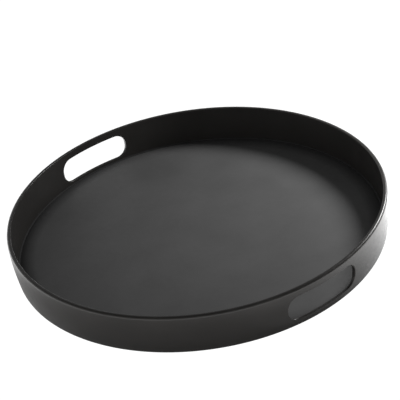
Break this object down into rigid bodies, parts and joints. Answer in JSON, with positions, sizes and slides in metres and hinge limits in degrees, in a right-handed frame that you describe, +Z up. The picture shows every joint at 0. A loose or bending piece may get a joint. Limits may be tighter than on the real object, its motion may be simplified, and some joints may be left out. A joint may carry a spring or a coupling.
{
  "type": "serving tray",
  "caption": "Round black serving tray: low upright wall with a hand slot on opposite sides, non-slip floor and rubber feet.",
  "frame": {"origin": "centre of the circle that the feet stand on, at the standing plane", "axes": "+Z up out of the tray, X through the two hand slots"},
  "size_m": [0.36, 0.36, 0.042],
  "materials": {
    "wall": "satin black, smooth",
    "panel": "fine-grained matt black",
    "liner": "matt charcoal black non-slip surface with a soft sheen",
    "bead": "satin black sealant",
    "foot": "matt black",
    "rivet": "black nylon"
  },
  "bodies": {
    "root": {"rim_hoop": "wall", "base_panel": "panel", "non_slip_liner": "liner", "corner_bead": "bead", "foot_1": "foot", "foot_2": "foot", "foot_3": "foot", "foot_4": "foot", "foot_rivets": "rivet"}
  },
  "joints": []
}
